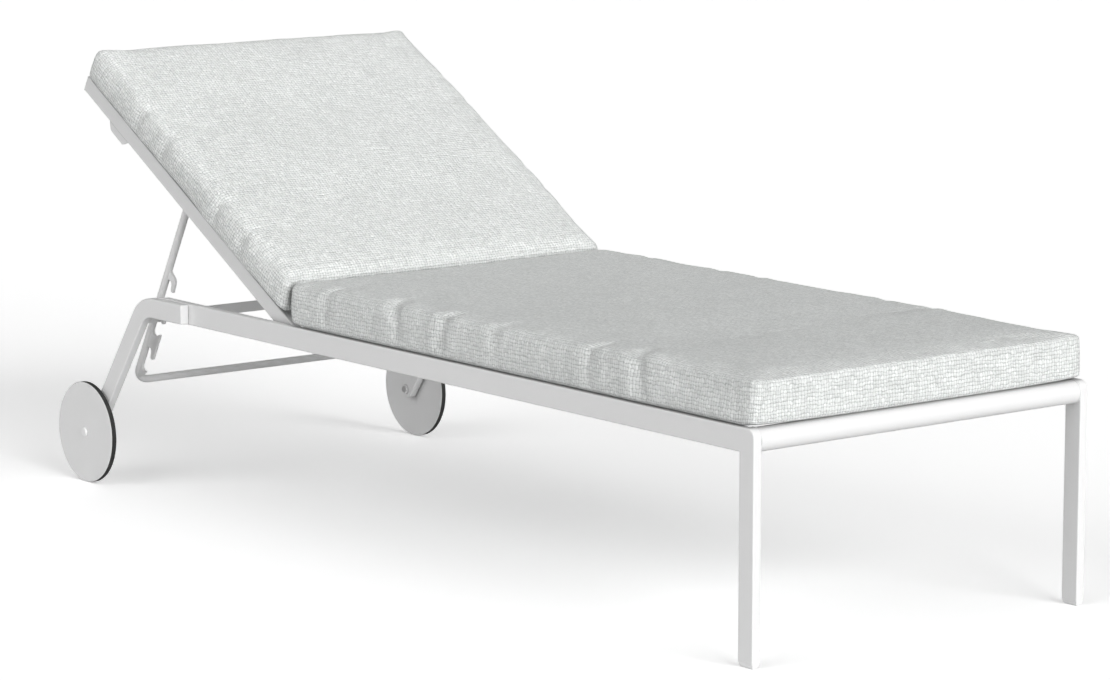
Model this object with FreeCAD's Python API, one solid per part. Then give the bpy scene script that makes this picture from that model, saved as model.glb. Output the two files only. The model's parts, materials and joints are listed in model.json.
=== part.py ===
"""Reclining sun lounger: a powder-coated tube frame on two front legs and two wheels.

The backrest hinges on the side rails and is propped by a bail, a U-shaped tube whose
hook plates hang on a flat ratchet bar between the rear legs. Two loose cushions lie
on flat slats. Millimetres, +Z up, +X towards the foot end, +Y to the left of a person
lying on it. The origin is on the floor, under the middle of the length and width.
"""
import FreeCAD
import Part
import math
import os
from FreeCAD import Vector

# Overall sizes
OVERALL_LENGTH = 1941.0
OVERALL_WIDTH = 700.0
RAIL_TOP = 367.0

# Flat tubes
TUBE_THICKNESS = 16.0
TUBE_WALL = 1.5
TUBE_EDGE = 2.5
END_OVERRUN = 10.0
MITRE_DROP = 1.0
RAIL_HEIGHT = 38.0
RAIL_LENGTH = 1622.0
FRONT_LEG_WIDTH = 35.0
FRONT_CORNER_RADIUS = 14.0
REAR_LEG_WIDTH = 35.0
REAR_LEG_START = 1540.0
REAR_LEG_LEAN = 35.3
REAR_LEG_BEND_RADIUS = 58.5
REAR_BOLTS = (24.0, 50.0)
BACK_RAIL_HEIGHT = 30.0
BACK_RAIL_LENGTH = 763.0
BACK_RAIL_TAIL = 18.0
BACK_LOWER_BAR = 62.0
BACK_UPPER_BAR = 732.0

# Round tubes
FRONT_TUBE_RADIUS = 19.0
BAIL_TUBE_RADIUS = 7.0
HANDLE_RADIUS = 6.5
CROSSBAR_RADIUS = 9.0

# Plugs and glides
PLUG_DEPTH = 18.0
PLUG_PLAY = 0.2
CAP_THICKNESS = 2.5
RAIL_CAP_LENGTH = 10.0
RAIL_CAP_RADIUS = 9.0
GLIDE_HEIGHT = 9.0

# Slats
SLAT_WIDTH = 40.0
SLAT_THICKNESS = 4.0
SLAT_EDGE = 1.2
SEAT_SLATS = 8
SEAT_SLAT_FIRST = 95.0
SEAT_SLAT_PITCH = 145.0
BACK_SLATS = 5
BACK_SLAT_FIRST = 110.0
BACK_SLAT_PITCH = 130.0
SEAT_CROSSBAR_GAP = 56.0
SEAT_CROSSBAR_DROP = 1.0

# Wheels
WHEEL_RADIUS = 93.0
WHEEL_THICKNESS = 10.5
WHEEL_LIP = 0.8
WHEEL_LIP_INSET = 0.5
WHEEL_GAP = 2.5
TYRE_DEPTH = 3.0
AXLE_RADIUS = 6.0
BUSH_WALL = 2.5
RUNNING_PLAY = 0.05
HUB_CAP_RADIUS = 8.5
HUB_CAP_HEIGHT = 3.5
HUB_CAP_EDGE = 2.8
AXLE_STUB = 0.6
NUT_RADIUS = 9.5
NUT_THICKNESS = 4.0
RIM_CHAMFER = 0.4
TYRE_EDGE = 0.4

# Backrest hinge
HINGE_FROM_FOOT = 1236.0
BACK_ANGLE = 30.0
SIDE_GAP = 1.5
BOLT_RADIUS = 4.0
BOLT_HEAD_RADIUS = 7.0
BOLT_HEAD_HEIGHT = 3.0
BOLT_PLAY = 0.1
BOLT_GRIP = 8.0
HINGE_WASHER_RADIUS = 9.0

# Prop bail, with places along its arms measured from its pivot
BAIL_PIVOT_ALONG = 409.5
BAIL_ANGLE = 28.4
BAIL_LENGTH = 412.0
BAIL_CORNER_RADIUS = 28.0
BAIL_ARM_Y = 306.0
BAIL_EYE_RADIUS = 10.0
BAIL_WASHER_RADIUS = 8.0
HOOK_PLATE_THICKNESS = 5.0
HOOK_NOTCHES = (177.0, 247.0, 327.0)
HOOK_REACH = 33.0
HOOK_FINGER_WIDTH = 7.5
HOOK_FINGER_DROP = 17.0
HOOK_MOUTH = 21.0
HOOK_STRIP = 7.4
HOOK_PLATE_TOP = 160.0
HOOK_PLATE_END = 398.0

# Ratchet bar
RATCHET_HEIGHT = 19.0
RATCHET_THICKNESS = 6.0
RATCHET_SEAT_DEPTH = 1.8
RATCHET_FORWARD = 10.3

# Lifting handle on the backrest
HANDLE_ALONG = 634.0
HANDLE_DROP = 7.0
HANDLE_EAR_WRAP = 7.5
HANDLE_PLATE_THICKNESS = 4.0
HANDLE_PLATE_SETBACK = 1.0

# Cushions
CUSHION_CLEARANCE = 0.3
SEAT_CUSHION_LENGTH = 1229.0
SEAT_CUSHION_THICKNESS = 76.0
BACK_CUSHION_START = 40.0
BACK_CUSHION_END = 758.0
BACK_CUSHION_THICKNESS = 71.0
SEAT_CUSHION_EDGE = 10.0
BACK_CUSHION_EDGE = 15.0

# Derived places
FOOT_X = OVERALL_LENGTH / 2
HALF_WIDTH = OVERALL_WIDTH / 2
RAIL_BOTTOM = RAIL_TOP - RAIL_HEIGHT
RAIL_MIDDLE = RAIL_TOP - RAIL_HEIGHT / 2
RAIL_INNER_Y = HALF_WIDTH - TUBE_THICKNESS
REAR_LEG_OUTER_Y = HALF_WIDTH + TUBE_THICKNESS
WHEEL_INNER_Y = REAR_LEG_OUTER_Y + WHEEL_GAP
WHEEL_OUTER_Y = WHEEL_INNER_Y + WHEEL_THICKNESS
BACK_RAIL_OUTER_Y = RAIL_INNER_Y - SIDE_GAP
BACK_RAIL_INNER_Y = BACK_RAIL_OUTER_Y - TUBE_THICKNESS
BACK_RAIL_TOP = BACK_RAIL_HEIGHT / 2
AXLE_X = WHEEL_RADIUS - FOOT_X
HINGE_X = FOOT_X - HINGE_FROM_FOOT

Y_AXIS = Vector(0, 1, 0)
Z_AXIS = Vector(0, 0, 1)
ORIGIN = Vector(0, 0, 0)

nodes = {}


# ---------------------------------------------------------------- helpers

def from_foot(distance):
    """X of a place that lies this far behind the foot end's front face."""
    return FOOT_X - distance


def outline(corners):
    """Closed wire in the XZ plane through (x, z, corner radius) points."""
    count = len(corners)
    ends = []
    for i in range(count):
        x, z, radius = corners[i]
        here = Vector(x, 0, z)
        before = Vector(corners[i - 1][0], 0, corners[i - 1][1])
        after = Vector(corners[(i + 1) % count][0], 0, corners[(i + 1) % count][1])
        back = (before - here).normalize()
        on = (after - here).normalize()
        half = back.getAngle(on) / 2
        if radius == 0:
            ends.append((here, None, here))
            continue
        cut = radius / math.tan(half)
        centre = here + (back + on).normalize() * (radius / math.sin(half))
        middle = centre + (here - centre).normalize() * radius
        ends.append((here + back * cut, middle, here + on * cut))
    edges = []
    for i in range(count):
        start, middle, end = ends[i]
        if middle is not None:
            edges.append(Part.Arc(start, middle, end).toShape())
        following = ends[(i + 1) % count][0]
        if end.distanceToPoint(following) > 1e-6:
            edges.append(Part.LineSegment(end, following).toShape())
    return Part.Wire(edges)


def slab(wire, y0, y1):
    """Plate from an XZ wire, standing between two values of Y."""
    face = Part.Face(wire)
    face.translate(Vector(0, y0, 0))
    return face.extrude(Vector(0, y1 - y0, 0))


def soften(shape, radius, y0, y1):
    """Round the edges that lie in the planes Y = y0 and Y = y1."""
    chosen = []
    for edge in shape.Edges:
        ys = [vertex.Y for vertex in edge.Vertexes]
        if all(abs(y - y0) < 1e-6 for y in ys) or all(abs(y - y1) < 1e-6 for y in ys):
            chosen.append(edge)
    return shape.makeFillet(radius, chosen)


def box(x0, x1, y0, y1, z0, z1):
    """Box between two corners."""
    return Part.makeBox(x1 - x0, y1 - y0, z1 - z0, Vector(x0, y0, z0))


def rod(radius, x, y0, y1, z):
    """Cylinder along Y."""
    return Part.makeCylinder(radius, y1 - y0, Vector(x, y0, z), Y_AXIS)


def ring(outer, inner, x, y0, y1, z):
    """Hollow cylinder along Y."""
    return rod(outer, x, y0, y1, z).cut(rod(inner, x, y0 - 1, y1 + 1, z))


def flat_tube(x0, x1, y0, y1, z0, z1):
    """Flat tube along X, open at its rear end x0 and closed at its front end x1."""
    wire = outline([(x0 - END_OVERRUN, z0, 0), (x1, z0, 0), (x1, z1, 0), (x0 - END_OVERRUN, z1, 0)])
    outer = soften(slab(wire, y0, y1), TUBE_EDGE, y0, y1)
    outer = outer.common(box(x0, x1, y0, y1, z0, z1))
    inner = box(
        x0 - 1,
        x1 - TUBE_WALL,
        y0 + TUBE_WALL,
        y1 - TUBE_WALL,
        z0 + TUBE_WALL,
        z1 - TUBE_WALL,
    )
    return outer.cut(inner)


def plug_stem(x0, x1, y0, y1, z0, z1):
    """Ribless stem of an end plug, a little smaller than the bore of its tube."""
    inset = TUBE_WALL + PLUG_PLAY
    return box(x0, x1, y0 + inset, y1 - inset, z0 + inset, z1 - inset)


def bolt(x, z, y_head, y_tip):
    """Flat-headed bolt along Y, its head starting at y_head and its tip at y_tip."""
    sign = 1 if y_tip > y_head else -1
    shank = rod(BOLT_RADIUS, x, min(y_head, y_tip), max(y_head, y_tip), z)
    y_top = y_head - sign * BOLT_HEAD_HEIGHT
    head = rod(BOLT_HEAD_RADIUS, x, min(y_top, y_head), max(y_top, y_head), z)
    rim = [edge for edge in head.Edges if abs(edge.BoundBox.YMin - y_top) < 1e-6 and edge.Closed]
    head = head.makeFillet(1.0, rim)
    return head.fuse(shank).removeSplitter()


def countersunk_bolt(x, z, y_face, y_tip, play=0.0):
    """Bolt along Y whose conical head lies flush in the face at y_face."""
    sign = 1 if y_tip > y_face else -1
    depth = BOLT_HEAD_RADIUS - BOLT_RADIUS
    head = Part.makeCone(
        BOLT_HEAD_RADIUS + play,
        BOLT_RADIUS + play,
        depth,
        Vector(x, y_face, z),
        Vector(0, sign, 0),
    )
    shank = rod(BOLT_RADIUS + play, x, min(y_face, y_tip), max(y_face, y_tip), z)
    return head.fuse(shank).removeSplitter()


def mirrored(shape):
    """The same piece on the other side of the lounger."""
    return shape.mirror(ORIGIN, Y_AXIS)


def add(name, shape):
    """Keep one node."""
    nodes[name] = shape


def add_both(name, shape):
    """Keep a piece made for the left side, and its mirror image on the right."""
    add(name + "_left", shape)
    add(name + "_right", mirrored(shape))


def add_pair(name, shape):
    """Keep identical small pieces of both sides in one node."""
    add(name, Part.makeCompound(shape.Solids + mirrored(shape).Solids))


def to_backrest(shape):
    """Place a piece drawn on the flat backrest: hinge at 0, backrest towards -X."""
    placed = shape.copy()
    placed.rotate(ORIGIN, Y_AXIS, BACK_ANGLE)
    placed.translate(Vector(HINGE_X, 0, RAIL_MIDDLE))
    return placed


def bail_pivot():
    """The bail's pivot point on the raised backrest."""
    angle = math.radians(BACK_ANGLE)
    x = HINGE_X - BAIL_PIVOT_ALONG * math.cos(angle)
    z = RAIL_MIDDLE + BAIL_PIVOT_ALONG * math.sin(angle)
    return Vector(x, 0, z)


def to_bail(shape):
    """Place a piece drawn on the hanging bail: pivot at 0, arms down along -Z."""
    placed = shape.copy()
    placed.rotate(ORIGIN, Y_AXIS, BAIL_ANGLE)
    placed.translate(bail_pivot())
    return placed


def bail_point(along, forward):
    """World point of a place on the bail: along its arms, and forward of them."""
    angle = math.radians(BAIL_ANGLE)
    x = -along * math.sin(angle) + forward * math.cos(angle)
    z = -along * math.cos(angle) - forward * math.sin(angle)
    return bail_pivot() + Vector(x, 0, z)


# ---------------------------------------------------------------- frame

def side_outline(inset, overrun):
    """Outline of a side rail and its front leg, drawn in by an inset and past both open ends."""
    back = from_foot(RAIL_LENGTH) - overrun
    foot = GLIDE_HEIGHT - overrun
    leg_back = FOOT_X - FRONT_LEG_WIDTH + inset
    return outline(
        [
            (back, RAIL_BOTTOM + inset, 0),
            (leg_back, RAIL_BOTTOM + inset, 0),
            (leg_back, foot, 0),
            (FOOT_X - inset, foot, 0),
            (FOOT_X - inset, RAIL_TOP - inset, FRONT_CORNER_RADIUS - inset),
            (back, RAIL_TOP - inset, 0),
        ]
    )


def side_tube():
    """Rail and front leg of one side as one hollow shape, open at both ends."""
    y0 = RAIL_INNER_Y
    y1 = HALF_WIDTH
    outer = soften(slab(side_outline(0, END_OVERRUN), y0, y1), TUBE_EDGE, y0, y1)
    outer = outer.common(box(from_foot(RAIL_LENGTH), FOOT_X, y0, y1, GLIDE_HEIGHT, RAIL_TOP))
    inner = slab(side_outline(TUBE_WALL, END_OVERRUN), y0 + TUBE_WALL, y1 - TUBE_WALL)
    return outer.cut(inner)


def below_mitre():
    """Everything on the front leg's side of the mitre, which starts just under the inner corner."""
    x = FOOT_X - FRONT_LEG_WIDTH
    wire = outline(
        [
            (x - FRONT_LEG_WIDTH, RAIL_BOTTOM - RAIL_HEIGHT - MITRE_DROP, 0),
            (x - FRONT_LEG_WIDTH, -END_OVERRUN, 0),
            (FOOT_X + FRONT_LEG_WIDTH, -END_OVERRUN, 0),
            (FOOT_X + FRONT_LEG_WIDTH, RAIL_TOP + RAIL_HEIGHT - MITRE_DROP, 0),
        ]
    )
    return slab(wire, RAIL_INNER_Y - 1, HALF_WIDTH + 1)


def side_rail():
    """Flat tube along the side, mitred into the front leg under its rounded corner."""
    tube = side_tube().cut(below_mitre())
    for x in rear_bolt_places():
        tube = tube.cut(countersunk_bolt(x, RAIL_MIDDLE, RAIL_INNER_Y, HALF_WIDTH + 1, BOLT_PLAY))
    hole = rod(
        BOLT_RADIUS + BOLT_PLAY,
        HINGE_X,
        RAIL_INNER_Y - 1,
        RAIL_INNER_Y + BOLT_GRIP,
        RAIL_MIDDLE,
    )
    return tube.cut(hole)


def rail_end_cap():
    """Plug with a rounded end that closes the rear end of a side rail."""
    x1 = from_foot(RAIL_LENGTH)
    x0 = x1 - RAIL_CAP_LENGTH
    wire = outline(
        [
            (x0, RAIL_BOTTOM, RAIL_CAP_RADIUS),
            (x1, RAIL_BOTTOM, 0),
            (x1, RAIL_TOP, 0),
            (x0, RAIL_TOP, RAIL_CAP_RADIUS),
        ]
    )
    head = slab(wire, RAIL_INNER_Y, HALF_WIDTH)
    stem = plug_stem(x1, x1 + PLUG_DEPTH, RAIL_INNER_Y, HALF_WIDTH, RAIL_BOTTOM, RAIL_TOP)
    return head.fuse(stem).removeSplitter()


def front_leg():
    """Flat tube down from the mitre at the rail's front end, open at its foot."""
    return side_tube().common(below_mitre())


def foot_glide():
    """Tapered plastic foot, with a stem inside the front leg."""
    x0 = FOOT_X - FRONT_LEG_WIDTH
    inset = 0.6
    sole = 4.0
    top = Part.makePolygon(rectangle(x0 + inset, FOOT_X - inset, inset, GLIDE_HEIGHT))
    waist = Part.makePolygon(rectangle(x0 + 2.0, FOOT_X - 2.0, 2.0, GLIDE_HEIGHT / 3))
    bottom = Part.makePolygon(rectangle(x0 + sole, FOOT_X - sole, sole, 0.0))
    foot = Part.makeLoft([bottom, waist, top], True, True)
    stem = box(
        x0 + TUBE_WALL + PLUG_PLAY,
        FOOT_X - TUBE_WALL - PLUG_PLAY,
        RAIL_INNER_Y + TUBE_WALL + PLUG_PLAY,
        HALF_WIDTH - TUBE_WALL - PLUG_PLAY,
        GLIDE_HEIGHT,
        GLIDE_HEIGHT + PLUG_DEPTH,
    )
    return foot.fuse(stem).removeSplitter()


def rectangle(x0, x1, inset, z):
    """Closed rectangle at height z across the front leg's thickness, less an inset."""
    y0 = RAIL_INNER_Y + inset
    y1 = HALF_WIDTH - inset
    return [Vector(x0, y0, z), Vector(x1, y0, z), Vector(x1, y1, z), Vector(x0, y1, z), Vector(x0, y0, z)]


def front_crossbar():
    """Round tube between the front ends of the side rails."""
    x = FOOT_X - FRONT_TUBE_RADIUS
    return ring(
        FRONT_TUBE_RADIUS,
        FRONT_TUBE_RADIUS - TUBE_WALL,
        x,
        -RAIL_INNER_Y,
        RAIL_INNER_Y,
        RAIL_MIDDLE,
    )


def rear_leg_wire(inset, start_x):
    """Outline of the bent rear leg, drawn in from its outer surface by an inset."""
    lean = math.radians(REAR_LEG_LEAN)
    half = REAR_LEG_WIDTH / 2 - inset
    turn = math.pi / 2 - lean
    drop = RAIL_MIDDLE - WHEEL_RADIUS
    vertex_x = AXLE_X + drop * math.tan(lean)
    arc_x = vertex_x + REAR_LEG_BEND_RADIUS * math.tan(turn / 2)
    centre = Vector(arc_x, 0, RAIL_MIDDLE - REAR_LEG_BEND_RADIUS)
    axle = Vector(AXLE_X, 0, WHEEL_RADIUS)
    side = Vector(-math.sin(turn), 0, math.cos(turn))
    down = Vector(-math.sin(lean), 0, -math.cos(lean))

    def on_arc(radius, angle):
        return centre + Vector(-math.sin(angle), 0, math.cos(angle)) * radius

    outer = REAR_LEG_BEND_RADIUS + half
    inner = REAR_LEG_BEND_RADIUS - half
    top_front = Vector(start_x, 0, RAIL_MIDDLE + half)
    low_front = Vector(start_x, 0, RAIL_MIDDLE - half)
    edges = [
        Part.LineSegment(top_front, on_arc(outer, 0)).toShape(),
        Part.Arc(on_arc(outer, 0), on_arc(outer, turn / 2), on_arc(outer, turn)).toShape(),
        Part.LineSegment(on_arc(outer, turn), axle + side * half).toShape(),
        Part.Arc(axle + side * half, axle + down * half, axle - side * half).toShape(),
        Part.LineSegment(axle - side * half, on_arc(inner, turn)).toShape(),
        Part.Arc(on_arc(inner, turn), on_arc(inner, turn / 2), on_arc(inner, 0)).toShape(),
        Part.LineSegment(on_arc(inner, 0), low_front).toShape(),
        Part.LineSegment(low_front, top_front).toShape(),
    ]
    return Part.Wire(edges)


def rear_leg():
    """Bent flat tube outside the rail's rear end, down to the wheel's axle."""
    start_x = from_foot(REAR_LEG_START)
    y0 = HALF_WIDTH
    y1 = REAR_LEG_OUTER_Y
    outer = soften(slab(rear_leg_wire(0, start_x + END_OVERRUN), y0, y1), TUBE_EDGE, y0, y1)
    outer = outer.cut(box(start_x, start_x + 2 * END_OVERRUN, y0 - 1, y1 + 1, 0, RAIL_TOP))
    inner = slab(rear_leg_wire(TUBE_WALL, start_x + END_OVERRUN), y0 + TUBE_WALL, y1 - TUBE_WALL)
    leg = outer.cut(inner)
    for x in rear_bolt_places():
        leg = leg.cut(rod(BOLT_RADIUS + BOLT_PLAY, x, y0 - 1, y0 + 4, RAIL_MIDDLE))
    return leg.cut(rod(AXLE_RADIUS + BOLT_PLAY, AXLE_X, y0 - 1, y1 + 1, WHEEL_RADIUS))


def rear_leg_cap():
    """Plug in the front end of a rear leg, with a rounded face."""
    x0 = from_foot(REAR_LEG_START)
    half = REAR_LEG_WIDTH / 2
    y0 = HALF_WIDTH
    y1 = REAR_LEG_OUTER_Y
    head = box(x0, x0 + CAP_THICKNESS, y0, y1, RAIL_MIDDLE - half, RAIL_MIDDLE + half)
    rim = [edge for edge in head.Edges if edge.BoundBox.XMin > x0 + CAP_THICKNESS - 1e-6]
    corners = [edge for edge in head.Edges if edge.BoundBox.XLength > CAP_THICKNESS - 1e-6]
    head = head.makeFillet(CAP_THICKNESS - 0.5, rim + corners)
    stem = plug_stem(x0 - PLUG_DEPTH, x0, y0, y1, RAIL_MIDDLE - half, RAIL_MIDDLE + half)
    return head.fuse(stem).removeSplitter()


def rear_bolt_places():
    """X of the two bolts that hold a rear leg to its rail."""
    return [from_foot(REAR_LEG_START + distance) for distance in REAR_BOLTS]


def rear_leg_bolts():
    """Countersunk bolts through a rail into its rear leg."""
    tip = HALF_WIDTH + TUBE_THICKNESS - BOLT_RADIUS
    bolts = [countersunk_bolt(x, RAIL_MIDDLE, RAIL_INNER_Y, tip) for x in rear_bolt_places()]
    return Part.makeCompound(bolts)


def ratchet_top():
    """Middle of the ratchet bar's top edge, under the top of the second notch."""
    return bail_point(HOOK_NOTCHES[1] + RATCHET_SEAT_DEPTH, RATCHET_FORWARD)


def ratchet_bar():
    """Flat bar on edge between the rear legs, which the bail's hooks catch."""
    top = ratchet_top()
    half = RATCHET_THICKNESS / 2
    bar = box(top.x - half, top.x + half, -HALF_WIDTH, HALF_WIDTH, top.z - RATCHET_HEIGHT, top.z)
    long_edges = [edge for edge in bar.Edges if edge.BoundBox.YLength > OVERALL_WIDTH / 2]
    return bar.makeFillet(1.0, long_edges)


def seat_slat(number):
    """One flat steel slat between the side rails, flush with their tops."""
    x = from_foot(SEAT_SLAT_FIRST + number * SEAT_SLAT_PITCH)
    half = SLAT_WIDTH / 2
    slat = box(x - half, x + half, -RAIL_INNER_Y, RAIL_INNER_Y, RAIL_TOP - SLAT_THICKNESS, RAIL_TOP)
    long_edges = [edge for edge in slat.Edges if edge.BoundBox.YLength > RAIL_INNER_Y]
    return slat.makeFillet(SLAT_EDGE, long_edges)


def seat_crossbar():
    """Flat tube across the frame, just in front of the backrest's hinges."""
    x1 = from_foot(HINGE_FROM_FOOT - SEAT_CROSSBAR_GAP)
    x0 = x1 - TUBE_THICKNESS
    z1 = RAIL_TOP - SLAT_THICKNESS - SEAT_CROSSBAR_DROP
    z0 = z1 - BACK_RAIL_HEIGHT
    outer = box(x0, x1, -RAIL_INNER_Y, RAIL_INNER_Y, z0, z1)
    long_edges = [edge for edge in outer.Edges if edge.BoundBox.YLength > RAIL_INNER_Y]
    outer = outer.makeFillet(TUBE_EDGE, long_edges)
    inner = box(
        x0 + TUBE_WALL,
        x1 - TUBE_WALL,
        -RAIL_INNER_Y,
        RAIL_INNER_Y,
        z0 + TUBE_WALL,
        z1 - TUBE_WALL,
    )
    return outer.cut(inner)


def hinge_bolt():
    """Bolt that carries one side of the backrest, fixed in the side rail."""
    return bolt(HINGE_X, RAIL_MIDDLE, BACK_RAIL_INNER_Y - 1.0, RAIL_INNER_Y + BOLT_GRIP)


def hinge_washer():
    """Washer in the gap between the side rail and the backrest's rail."""
    return ring(
        HINGE_WASHER_RADIUS,
        BOLT_RADIUS + BOLT_PLAY,
        HINGE_X,
        BACK_RAIL_OUTER_Y + BOLT_PLAY,
        RAIL_INNER_Y,
        RAIL_MIDDLE,
    )


# ---------------------------------------------------------------- wheels

def axle_bolt():
    """Stub axle through a rear leg, with its collar against the wheel."""
    y0 = HALF_WIDTH - NUT_THICKNESS - 1
    y1 = WHEEL_OUTER_Y + AXLE_STUB
    shank = rod(AXLE_RADIUS, AXLE_X, y0, y1, WHEEL_RADIUS)
    collar = rod(AXLE_RADIUS + BUSH_WALL, AXLE_X, REAR_LEG_OUTER_Y, WHEEL_INNER_Y - 0.2, WHEEL_RADIUS)
    return shank.fuse(collar).removeSplitter()


def axle_nut():
    """Hexagon nut on the inner end of a stub axle."""
    y0 = HALF_WIDTH - NUT_THICKNESS
    points = []
    for i in range(7):
        angle = math.radians(60 * i)
        x = AXLE_X + NUT_RADIUS * math.cos(angle)
        z = WHEEL_RADIUS + NUT_RADIUS * math.sin(angle)
        points.append(Vector(x, y0, z))
    body = Part.Face(Part.makePolygon(points)).extrude(Vector(0, NUT_THICKNESS, 0))
    return body.cut(rod(AXLE_RADIUS, AXLE_X, y0 - 1, HALF_WIDTH + 1, WHEEL_RADIUS))


def hub_cap():
    """Domed cap pressed on the outer end of a stub axle."""
    y0 = WHEEL_OUTER_Y + 0.2
    y1 = y0 + HUB_CAP_HEIGHT
    cap = rod(HUB_CAP_RADIUS, AXLE_X, y0, y1, WHEEL_RADIUS)
    rim = [edge for edge in cap.Edges if edge.Closed and abs(edge.BoundBox.YMin - y1) < 1e-6]
    cap = cap.makeFillet(HUB_CAP_EDGE, rim)
    return cap.cut(rod(AXLE_RADIUS, AXLE_X, y0 - 1, WHEEL_OUTER_Y + AXLE_STUB, WHEEL_RADIUS))


def wheel_disc():
    """Thin solid wheel, with a groove between two thin lips for its tyre."""
    y0 = WHEEL_INNER_Y
    y1 = WHEEL_OUTER_Y
    disc = rod(WHEEL_RADIUS - WHEEL_LIP_INSET, AXLE_X, y0, y1, WHEEL_RADIUS)
    rims = [edge for edge in disc.Edges if edge.Closed]
    disc = disc.makeChamfer(RIM_CHAMFER, rims)
    floor = WHEEL_RADIUS - TYRE_DEPTH
    groove = ring(WHEEL_RADIUS, floor, AXLE_X, y0 + WHEEL_LIP, y1 - WHEEL_LIP, WHEEL_RADIUS)
    bore = rod(AXLE_RADIUS + BUSH_WALL, AXLE_X, y0 - 1, y1 + 1, WHEEL_RADIUS)
    return disc.cut(groove).cut(bore)


def wheel_bush():
    """Plastic bush in the middle of the wheel, which turns on the stub axle."""
    return ring(
        AXLE_RADIUS + BUSH_WALL,
        AXLE_RADIUS + RUNNING_PLAY,
        AXLE_X,
        WHEEL_INNER_Y,
        WHEEL_OUTER_Y,
        WHEEL_RADIUS,
    )


def tyre():
    """Thin rubber band in the groove of the wheel's rim."""
    band = ring(
        WHEEL_RADIUS,
        WHEEL_RADIUS - TYRE_DEPTH,
        AXLE_X,
        WHEEL_INNER_Y + WHEEL_LIP,
        WHEEL_OUTER_Y - WHEEL_LIP,
        WHEEL_RADIUS,
    )
    smallest = 2 * WHEEL_RADIUS - 1
    rims = [edge for edge in band.Edges if edge.Closed and edge.BoundBox.XLength > smallest]
    return band.makeFillet(TYRE_EDGE, rims)


# ---------------------------------------------------------------- backrest

def backrest_rail():
    """Flat tube along one side of the backrest, open at its top end."""
    tube = flat_tube(
        -BACK_RAIL_LENGTH,
        BACK_RAIL_TAIL,
        BACK_RAIL_INNER_Y,
        BACK_RAIL_OUTER_Y,
        -BACK_RAIL_TOP,
        BACK_RAIL_TOP,
    )
    y0 = BACK_RAIL_INNER_Y - 1
    bore = rod(BOLT_RADIUS + BUSH_WALL, 0, y0, BACK_RAIL_OUTER_Y + 1, 0)
    pivot = rod(BOLT_RADIUS + BOLT_PLAY, -BAIL_PIVOT_ALONG, y0, BACK_RAIL_INNER_Y + BOLT_GRIP, 0)
    return tube.cut(bore).cut(pivot)


def hinge_bush():
    """Bush through the lower end of a backrest rail, which turns on the hinge bolt."""
    return ring(
        BOLT_RADIUS + BUSH_WALL,
        BOLT_RADIUS + RUNNING_PLAY,
        0,
        BACK_RAIL_INNER_Y,
        BACK_RAIL_OUTER_Y,
        0,
    )


def backrest_cap():
    """Plug in the top end of a backrest rail."""
    x1 = -BACK_RAIL_LENGTH
    x0 = x1 - CAP_THICKNESS
    head = box(x0, x1, BACK_RAIL_INNER_Y, BACK_RAIL_OUTER_Y, -BACK_RAIL_TOP, BACK_RAIL_TOP)
    rim = [edge for edge in head.Edges if edge.BoundBox.XMax < x0 + 1e-6]
    head = head.makeFillet(CAP_THICKNESS / 2, rim)
    stem = plug_stem(
        x1,
        x1 + PLUG_DEPTH,
        BACK_RAIL_INNER_Y,
        BACK_RAIL_OUTER_Y,
        -BACK_RAIL_TOP,
        BACK_RAIL_TOP,
    )
    return head.fuse(stem).removeSplitter()


def backrest_crossbar(along):
    """Round tube between the backrest rails, this far from the hinge."""
    bore = CROSSBAR_RADIUS - TUBE_WALL
    return ring(CROSSBAR_RADIUS, bore, -along, -BACK_RAIL_INNER_Y, BACK_RAIL_INNER_Y, 0)


def back_slat(number):
    """One flat steel slat between the backrest rails, flush with their tops."""
    x = -(BACK_SLAT_FIRST + number * BACK_SLAT_PITCH)
    half = SLAT_WIDTH / 2
    z1 = BACK_RAIL_TOP
    z0 = z1 - SLAT_THICKNESS
    slat = box(x - half, x + half, -BACK_RAIL_INNER_Y, BACK_RAIL_INNER_Y, z0, z1)
    long_edges = [edge for edge in slat.Edges if edge.BoundBox.YLength > BACK_RAIL_INNER_Y]
    return slat.makeFillet(SLAT_EDGE, long_edges)


def handle_bracket():
    """Plate ear under a backrest rail that holds one end of the lifting handle."""
    x = -HANDLE_ALONG
    low = -BACK_RAIL_TOP - HANDLE_DROP - HANDLE_EAR_WRAP
    wire = outline(
        [
            (x + 38, -BACK_RAIL_TOP, 0),
            (x + 24, low, 8),
            (x - 20, low, 12),
            (x - 32, -BACK_RAIL_TOP, 0),
        ]
    )
    y1 = BACK_RAIL_OUTER_Y - HANDLE_PLATE_SETBACK
    ear = slab(wire, y1 - HANDLE_PLATE_THICKNESS, y1)
    edges = []
    for edge in ear.Edges:
        centre = edge.BoundBox.Center
        on_side = edge.BoundBox.YLength < 1e-6
        if on_side and centre.z < -BACK_RAIL_TOP - 1e-3:
            edges.append(edge)
    return ear.makeFillet(0.8, edges)


def lift_handle():
    """Round tube across the backrest's underside, between its two brackets."""
    y1 = BACK_RAIL_OUTER_Y - HANDLE_PLATE_SETBACK - HANDLE_PLATE_THICKNESS
    z = -BACK_RAIL_TOP - HANDLE_DROP
    return ring(HANDLE_RADIUS, HANDLE_RADIUS - TUBE_WALL, -HANDLE_ALONG, -y1, y1, z)


# ---------------------------------------------------------------- bail

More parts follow.
